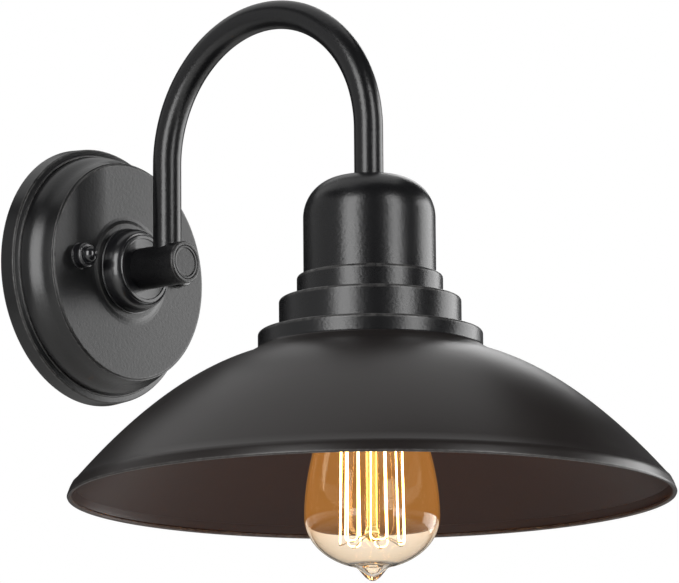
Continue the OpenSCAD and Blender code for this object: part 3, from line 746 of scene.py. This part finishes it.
def buildShade():
    shape = shadeShape
    t = shape["sheet"]
    outer, inner = [], []
    for index, (r, top) in enumerate(shape["steps"]):
        low = shape["steps"][index + 1][1] if index < 2 else shape["foot"] + 1.6
        outer += [(r, top, 1.5), (r, low, 0.5 if index < 2 else 2.0)]
        inner += [(r - t, top - t, 0.5), (r - t, low - t, 1.2)]
    for step in range(1, shape["skirtRows"] + 1):
        outer.append(skirt(step / shape["skirtRows"], 0))
        inner.append(skirt(step / shape["skirtRows"], t))
    (mouthR, mouthZ), (creaseR, creaseZ) = shape["mouth"], shape["crease"]
    outer += [(creaseR + 0.55, creaseZ - 0.35, 0), (creaseR + 1.7, creaseZ - 2.6, 0),
              (mouthR, mouthZ + 0.75, 0.35), (mouthR - 0.35, mouthZ, 0.3)]
    # the inner wall ends in a small rolled hem
    inner += [(creaseR - 0.6, creaseZ - 0.9, 0), (creaseR + 0.35, creaseZ - 2.8, 0.3),
              (mouthR - 1.75, mouthZ + 1.9, 0.25), (mouthR - 2.35, mouthZ + 1.3, 0.3),
              (mouthR - 2.2, mouthZ + 0.35, 0.3), (mouthR - 1.35, mouthZ, 0.3)]
    corners = [(shape["neck"], shape["steps"][0][1], 0)] + outer + list(reversed(inner))
    corners += [(shape["neck"], shape["steps"][0][1] - t, 0)]
    outline = rounded(corners, -1)
    mouthRow = max(range(len(outline)), key=lambda i: -outline[i][1])

    def finishOf(row):
        # the steps take the cup's paint, the skirt a softer one, and the inside a browner one: painted warm
        # lamplight on the black paint
        if row > mouthRow:
            return 2
        return 0 if outline[row][1] > shape["foot"] + 2 else 1

    mesh = spin("shadeSpinning", outline, onLamp, 256, finishOf=finishOf,
                materials=["satinBlack", "shadeBlack", "shadeInsidePaintedWarmth"])
    piece = newPiece("shadeSpinning", mesh, "lantern", "shadeBlack",
                     ["shade", "shade_step", "shade_crown"])
    screws = [(side * shape["screwAt"], 0, 2.2) for side in (-1, 1)]
    drill(piece, screws, onLamp, -30, -15)


buildCup()
buildShade()
print("cup and shade made")

neckShape = {"bore": 5.1, "foot": 3.45, "head": 26.0, "bends": 72, "round": 48}
stubShape = {"back": 36.5, "r": 10.4, "plugR": 8.35, "plugSeat": 2.05, "bore": 5.5, "nippleR": 6.05,
             "nippleEnd": 43.8, "screwR": 1.6, "screwHeight": 5.6}


def neckPath():
    # centreline in the upright middle plane, as (y, z)
    shape = neckShape
    points = [(-legReach, shape["foot"]), (-legReach, archZ * 0.5)]
    for step in range(shape["bends"] + 1):
        a = math.pi * step / shape["bends"]
        points.append((-legReach - archR + archR * math.cos(a), archZ + archR * math.sin(a)))
    return points + [(-lampReach, archZ * 0.7), (-lampReach, shape["head"])]


def buildGooseneck():
    shape = neckShape
    points = neckPath()
    work = bmesh.new()
    work.verts.layers.float.new("edgeWear")
    walls = []
    for radius in (tubeR, shape["bore"]):
        rings = []
        for index, (y, z) in enumerate(points):
            ahead = points[min(index + 1, len(points) - 1)]
            behind = points[max(index - 1, 0)]
            heading = Vector((0, ahead[0] - behind[0], ahead[1] - behind[1])).normalized()
            side = Vector((1, 0, 0))
            upward = heading.cross(side)
            ring = []
            for step in range(shape["round"]):
                a = 2 * math.pi * step / shape["round"]
                offset = (side * math.cos(a) + upward * math.sin(a)) * radius
                ring.append(work.verts.new((Vector((0, y, z)) + offset) * mm))
            rings.append(ring)
        walls.append(rings)

    def join(first, second):
        for step in range(shape["round"]):
            after = (step + 1) % shape["round"]
            work.faces.new((first[step], first[after], second[after], second[step]))

    for rings in walls:
        for first, second in zip(rings, rings[1:]):
            join(first, second)
    join(walls[0][0], walls[1][0])
    join(walls[0][-1], walls[1][-1])
    bmesh.ops.recalc_face_normals(work, faces=work.faces)
    mesh = bpy.data.meshes.new("gooseneckTube")
    work.to_mesh(mesh)
    work.free()
    newPiece("gooseneckTube", mesh, "lantern", "satinBlack", ["gooseneck"])


def buildStub():
    shape = stubShape
    end = -stubLow.y / mm
    mouthR, seat = shape["plugR"] + 0.05, shape["plugSeat"]
    nippleR, nippleEnd = shape["nippleR"], shape["nippleEnd"]
    corners = [(nippleR, shape["back"], 0), (shape["r"], shape["back"], 0), (shape["r"], end, 0.8),
               (mouthR, end, 0.25), (mouthR, end - seat, 0), (shape["bore"], end - seat, 0),
               (shape["bore"], nippleEnd, 0), (nippleR, nippleEnd, 0)]
    mesh = spin("armStub", rounded(corners), offWall(), 120)
    piece = newPiece("armStub", mesh, "lantern", "satinBlack", ["arm_stub"])
    upright = lambda x, y, h: (x * mm, -legReach * mm + y * mm, h * mm)
    sideways = lambda x, y, h: (h * mm, (-legReach + x) * mm, (shape["screwHeight"] + y) * mm)
    drill(piece, [(0, 0, tubeR + 0.05)], upright, 3.4, 14)
    drill(piece, [(0, 0, neckShape["bore"])], upright, 0, 4)
    drill(piece, [(0, 0, shape["screwR"])], sideways, 6, 12)


def buildEndPlug():
    end = -stubLow.y / mm
    r, seat = stubShape["plugR"], stubShape["plugSeat"]
    corners = [(0, end - 5.2, 0), (5.45, end - 5.2, 0.2), (5.45, end - seat, 0), (r, end - seat, 0),
               (r, end - 0.25, 0.3), (r - 1.1, end - 0.2, 0.3), (r - 1.5, end - 0.55, 0.2),
               (0, end - 0.55, 0)]
    mesh = spin("armEndPlug", rounded(corners, -1), offWall(), 96)
    newPiece("armEndPlug", mesh, "lantern", "canopyBlack", ["arm_end_plug"])


buildGooseneck()
buildStub()
buildEndPlug()
print("gooseneck and stub made")

glassShape = {"r": 32.1, "widest": -138.0, "bowl": 24.5, "tip": -168.4, "wall": 0.9, "neck": 12.4}
baseShape = {"r": 13.0, "depth": 0.65, "pitch": 3.63, "top": -28.4, "threadHigh": -36.5, "threadLow": -51.0}


def glassSide(t):
    shape = glassShape
    points = [(shape["neck"] - t, -53.5, 0), (shape["neck"] + 0.2 - t, -60, 0)]
    for step in range(1, 17):
        # the long flare from the neck to the widest ring
        u = step / 16
        r = shape["neck"] + 0.2 + (shape["r"] - shape["neck"] - 0.2) * math.sin(u * math.pi / 2) ** 1.18
        points.append((r - t, -60 + (shape["widest"] + 60) * u, 0))
    return points + arc(0, shape["widest"], shape["r"] - t, shape["bowl"] - t, -5, -70, 16)


def buildGlass():
    shape = glassShape
    tip = shape["tip"]
    corners = glassSide(0) + [(8.6, -161.2, 1.5), (6.6, -163.0, 2.0), (3.6, -166.6, 1.5),
                              (1.4, tip + 0.15, 0.8), (0, tip, 0)]
    corners += [(0, tip + 2.4, 0), (2.4, -164.6, 1.0), (5.2, -162.0, 1.2), (8.0, -160.2, 1.0)]
    corners += list(reversed(glassSide(shape["wall"])))
    mesh = spin("glassEnvelope", rounded(corners), onLamp, 192)
    newPiece("glassEnvelope", mesh, "bulb", "amberGlass", ["bulb_glass"])


def threadRipple(shape):
    # a rolled knuckle thread, fading out at both ends
    def ripple(angle, h, r):
        if abs(r - shape["r"]) > 0.01 or not shape["threadLow"] < h < shape["threadHigh"]:
            return 0
        fade = min(1, (shape["threadHigh"] - h) / 1.5, (h - shape["threadLow"]) / 1.5)
        wave = 0.5 - 0.5 * math.cos(2 * math.pi * (h / shape["pitch"] + angle / (2 * math.pi)))
        return -shape["depth"] * wave * fade

    return ripple


def buildBase():
    shape = baseShape
    top, r = shape["top"], shape["r"]
    corners = [(7.5, top - 3.6, 0), (9.4, top - 3.6, 0.4), (r - 1, top - 5.6, 0.6), (r, top - 7, 0.5)]
    corners += [(r, shape["threadHigh"] - 0.3 * step, 0) for step in range(int(15 / 0.3))]
    corners += [(r, -51.6, 0), (13.3, -53, 0.4), (13.3, -57.5, 0.2), (12.9, -57.5, 0), (12.5, -53.2, 0),
                (r - 0.9, -52, 0), (r - 0.9, top - 7.4, 0), (r - 1.6, top - 6.2, 0), (9.0, top - 4.2, 0),
                (7.5, top - 4.2, 0)]
    mesh = spin("screwBase", rounded(corners), onLamp, 144, threadRipple(shape))
    newPiece("screwBase", mesh, "bulb", "baseBrass", ["bulb_base"])


def buildStem():
    # a flare sealed in the neck, a waist, the upper button, the rod and the lower button
    corners = [(0, -60, 0), (3, -60, 0.8), (10.9, -58.4, 1.0), (11.2, -59.6, 0.3), (5.2, -64, 3),
               (3.8, -70, 3), (3.8, -76, 1.5), (2.6, -79, 1), (2.6, -81.2, 0.6), (3.7, -83, 0.8),
               (3.7, -85, 0.8), (2.6, -86.8, 0.6), (2.6, -143, 1), (3.5, -145, 1), (3.5, -147.5, 1.2),
               (1.6, -149.5, 1), (0, -149.8, 0)]
    mesh = spin("glassStem", rounded(corners), onLamp, 48)
    newPiece("glassStem", mesh, "bulb", "stemGlass", ["glass_stem"])


buildGlass()
buildBase()
buildStem()
print("glass, base and stem made")


def newTree(name, inputs):
    tree = bpy.data.node_groups.new(name, "GeometryNodeTree")
    tree.interface.new_socket(name="Geometry", in_out="INPUT", socket_type="NodeSocketGeometry")
    tree.interface.new_socket(name="Geometry", in_out="OUTPUT", socket_type="NodeSocketGeometry")
    for label, kind, value in inputs:
        socket = tree.interface.new_socket(name=label, in_out="INPUT", socket_type=kind)
        socket.default_value = value
    return tree, tree.nodes.new("NodeGroupInput"), tree.nodes.new("NodeGroupOutput")


def geo(tree, kind, **values):
    # one geometry node; sockets are linked and other values are set
    node = tree.nodes.new(kind)
    for label, value in values.items():
        socket = node.inputs[label.replace("_", " ")]
        if isinstance(value, bpy.types.NodeSocket):
            tree.links.new(value, socket)
        else:
            socket.default_value = value
    return node


def closeTree(tree, made, source, material):
    # every tree ends in Realize Instances and Set Material
    real = geo(tree, "GeometryNodeRealizeInstances", Geometry=source)
    paint = geo(tree, "GeometryNodeSetMaterial", Geometry=real.outputs[0])
    paint.inputs["Material"].default_value = finishes[material]
    tree.links.new(paint.outputs[0], made.inputs["Geometry"])


def bakeTree(name, tree, values, body, material, replaced):
    carrier = bpy.data.objects.new(name + "Carrier", bpy.data.meshes.new(name + "Carrier"))
    addToScene(carrier)
    grow = carrier.modifiers.new("grow", "NODES")
    grow.node_group = tree
    for item in tree.interface.items_tree:
        if item.item_type == "SOCKET" and item.in_out == "INPUT" and item.name in values:
            grow[item.identifier] = values[item.name]
    depsgraph = bpy.context.evaluated_depsgraph_get()
    mesh = bpy.data.meshes.new_from_object(carrier.evaluated_get(depsgraph))
    bpy.data.objects.remove(carrier)
    mesh.name = name
    newPiece(name, mesh, body, material, replaced)


cageShape = {"Strands": 14, "Top Radius": 14.5 * mm, "Foot Radius": 15.5 * mm, "Top Height": -84 * mm,
             "Foot Height": -150.5 * mm, "Thread Radius": 0.33 * mm, "Reach": lampReach * mm, "Sway": 0.10}


def cageTree():
    # one thread that runs down and up through every strand, with its turns rounded
    tree, given, made = newTree("filamentCage", [
        ("Strands", "NodeSocketInt", 14), ("Top Radius", "NodeSocketFloat", 0.0145),
        ("Foot Radius", "NodeSocketFloat", 0.0155), ("Top Height", "NodeSocketFloat", -0.084),
        ("Foot Height", "NodeSocketFloat", -0.1505), ("Thread Radius", "NodeSocketFloat", 0.0003),
        ("Reach", "NodeSocketFloat", 0.18), ("Sway", "NodeSocketFloat", 0.1)])
    put = given.outputs
    index = geo(tree, "GeometryNodeInputIndex").outputs[0]
    strand = calc(tree, "FLOOR", calc(tree, "DIVIDE", index, 2))
    atFoot = calc(tree, "COMPARE", calc(tree, "MODULO", index, 4), 1.5, 0.6)
    sway = geo(tree, "FunctionNodeRandomValue", Seed=7)
    swing = calc(tree, "MULTIPLY", calc(tree, "SUBTRACT", sway.outputs[1], 0.5), put["Sway"])
    share = calc(tree, "DIVIDE", calc(tree, "ADD", strand, 0.5), put["Strands"])
    angle = calc(tree, "MULTIPLY_ADD", share, 2 * math.pi, swing)
    wider = calc(tree, "SUBTRACT", put["Foot Radius"], put["Top Radius"])
    radius = calc(tree, "MULTIPLY_ADD", atFoot, wider, put["Top Radius"])
    drop = calc(tree, "SUBTRACT", put["Foot Height"], put["Top Height"])
    height = calc(tree, "MULTIPLY_ADD", atFoot, drop, put["Top Height"])
    across = calc(tree, "MULTIPLY", radius, calc(tree, "COSINE", angle))
    outward = calc(tree, "MULTIPLY", radius, calc(tree, "SINE", angle))
    spot = geo(tree, "ShaderNodeCombineXYZ", X=across, Y=calc(tree, "SUBTRACT", outward, put["Reach"]),
               Z=height)
    line = geo(tree, "GeometryNodeMeshLine")
    tree.links.new(calc(tree, "MULTIPLY", put["Strands"], 2), line.inputs["Count"])
    place = geo(tree, "GeometryNodeSetPosition", Geometry=line.outputs[0], Position=spot.outputs[0])
    thread = geo(tree, "GeometryNodeMeshToCurve", Mesh=place.outputs[0])
    turned = geo(tree, "GeometryNodeFilletCurve", Curve=thread.outputs[0], Radius=2.2 * mm,
                 Limit_Radius=True)
    turned.mode = "POLY"
    turned.inputs["Count"].default_value = 5
    ring = geo(tree, "GeometryNodeCurvePrimitiveCircle", Resolution=8, Radius=put["Thread Radius"])
    swept = geo(tree, "GeometryNodeCurveToMesh", Curve=turned.outputs[0], Profile_Curve=ring.outputs[0],
                Fill_Caps=True)
    closeTree(tree, made, swept.outputs[0], "filament")
    return tree


bakeTree("filamentCage", cageTree(), cageShape, "bulb", "filament", ["filament"])

hookShape = {"Count": 6, "Step": 2 * math.pi / 7, "Stem Radius": 2.6 * mm, "Reach Radius": 14.4 * mm,
             "Stem Height": -84 * mm, "End Height": -83 * mm, "Rise": 3.0 * mm,
             "Wire Radius": 0.24 * mm, "First Turn": 2 * math.pi / 7}
eyeR = 0.75 * mm


def hookTree():
    # wires that arch from the stem to the cage, each with a small eye at its end
    tree, given, made = newTree("supportHooks", [
        ("Count", "NodeSocketInt", 7), ("Step", "NodeSocketFloat", 0.9),
        ("Stem Radius", "NodeSocketFloat", 0.0026), ("Reach Radius", "NodeSocketFloat", 0.0144),
        ("Stem Height", "NodeSocketFloat", -0.084), ("End Height", "NodeSocketFloat", -0.083),
        ("Rise", "NodeSocketFloat", 0.003), ("Wire Radius", "NodeSocketFloat", 0.00024),
        ("First Turn", "NodeSocketFloat", 0.0), ("Reach", "NodeSocketFloat", lampReach * mm)])
    put = given.outputs
    start = geo(tree, "ShaderNodeCombineXYZ", X=put["Stem Radius"], Z=put["Stem Height"])
    halfway = geo(tree, "ShaderNodeCombineXYZ", X=calc(tree, "MULTIPLY", put["Reach Radius"], 0.6),
                  Z=calc(tree, "ADD", put["End Height"], put["Rise"]))
    end = geo(tree, "ShaderNodeCombineXYZ", X=put["Reach Radius"], Z=put["End Height"])
    arch = geo(tree, "GeometryNodeCurveQuadraticBezier", Resolution=10, Start=start.outputs[0],
               Middle=halfway.outputs[0], End=end.outputs[0])
    eye = geo(tree, "GeometryNodeCurvePrimitiveCircle", Resolution=12, Radius=eyeR)
    eyeReach = calc(tree, "ADD", put["Reach Radius"], eyeR)
    eyeAt = geo(tree, "ShaderNodeCombineXYZ", X=eyeReach, Z=put["End Height"])
    eyeSet = geo(tree, "GeometryNodeTransform", Geometry=eye.outputs[0], Translation=eyeAt.outputs[0])
    both = geo(tree, "GeometryNodeJoinGeometry")
    tree.links.new(arch.outputs[0], both.inputs[0])
    tree.links.new(eyeSet.outputs[0], both.inputs[0])
    section = geo(tree, "GeometryNodeCurvePrimitiveCircle", Resolution=6, Radius=put["Wire Radius"])
    wire = geo(tree, "GeometryNodeCurveToMesh", Curve=both.outputs[0], Profile_Curve=section.outputs[0],
               Fill_Caps=True)
    axis = geo(tree, "ShaderNodeCombineXYZ", Y=calc(tree, "MULTIPLY", put["Reach"], -1))
    seat = geo(tree, "GeometryNodeMeshLine")
    tree.links.new(put["Count"], seat.inputs["Count"])
    seat.inputs["Offset"].default_value = (0, 0, 0)
    tree.links.new(axis.outputs[0], seat.inputs["Start Location"])
    index = geo(tree, "GeometryNodeInputIndex").outputs[0]
    turn = calc(tree, "MULTIPLY_ADD", index, put["Step"], put["First Turn"])
    turned = geo(tree, "ShaderNodeCombineXYZ", Z=turn)
    copies = geo(tree, "GeometryNodeInstanceOnPoints", Points=seat.outputs[0], Instance=wire.outputs[0],
                 Rotation=turned.outputs[0])
    closeTree(tree, made, copies.outputs[0], "wire")
    return tree


hookGroup = hookTree()
bakeTree("upperHooks", hookGroup, hookShape, "bulb", "wire", ["filament_supports"])
lowerHooks = dict(hookShape, **{"Count": 7, "Reach Radius": 14.0 * mm, "Stem Height": -146.3 * mm,
                                "End Height": -151.2 * mm, "Rise": 3.4 * mm,
                                "First Turn": math.pi / 7})
bakeTree("lowerHooks", hookGroup, lowerHooks, "bulb", "wire", ["filament_supports"])
print("filament and hooks made")

glowSetup = {"height": -118, "radius": 0.012, "watts": 0.45, "tint": (1.0, 0.48, 0.16)}
glowData = bpy.data.lights.new("lampGlow", "POINT")
glowData.energy = glowSetup["watts"]
glowData.color = glowSetup["tint"]
glowData.shadow_soft_size = glowSetup["radius"]
glowLamp = bpy.data.objects.new("lampGlow", glowData)
glowLamp.location = onLamp(0, 0, glowSetup["height"])
addToScene(glowLamp)
glowLamp.visible_camera = False
glowLamp.visible_glossy = False
glowLamp.visible_transmission = False
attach(glowLamp, "bulb")

keptFinishes = {
    "foam": ["wall_gasket"],
    "silicone": ["cap_nut_washers", "head_seal"],
    "zinc": ["mounting_bracket", "canopy_studs", "stud_lock_nuts", "arm_lock_washer", "arm_lock_nut",
             "head_washer", "head_nuts", "yoke", "shade_screws", "socket_spacers", "socket_screws"],
    "greenZinc": ["ground_screw", "earth_screw"],
    "nippleBrass": ["arm_nipple", "head_nipple"],
    "stampedBrass": ["screw_shell", "centre_contact", "terminal_plates", "terminal_screws"],
    "porcelain": ["socket_body"],
    "blackBraid": ["live_lead"],
    "whiteBraid": ["neutral_lead"],
    "greenBraid": ["earth_lead"],
    "copper": ["lead_ends"],
    "vitrite": ["base_insulator"],
    "solder": ["base_contact"],
    "wire": ["lead_in_wires"],
    "glossBlack": ["arm_set_screw"],
}
for key, names in keptFinishes.items():
    for nodeName in names:
        nodes[nodeName].data.materials.clear()
        nodes[nodeName].data.materials.append(finishes[key])
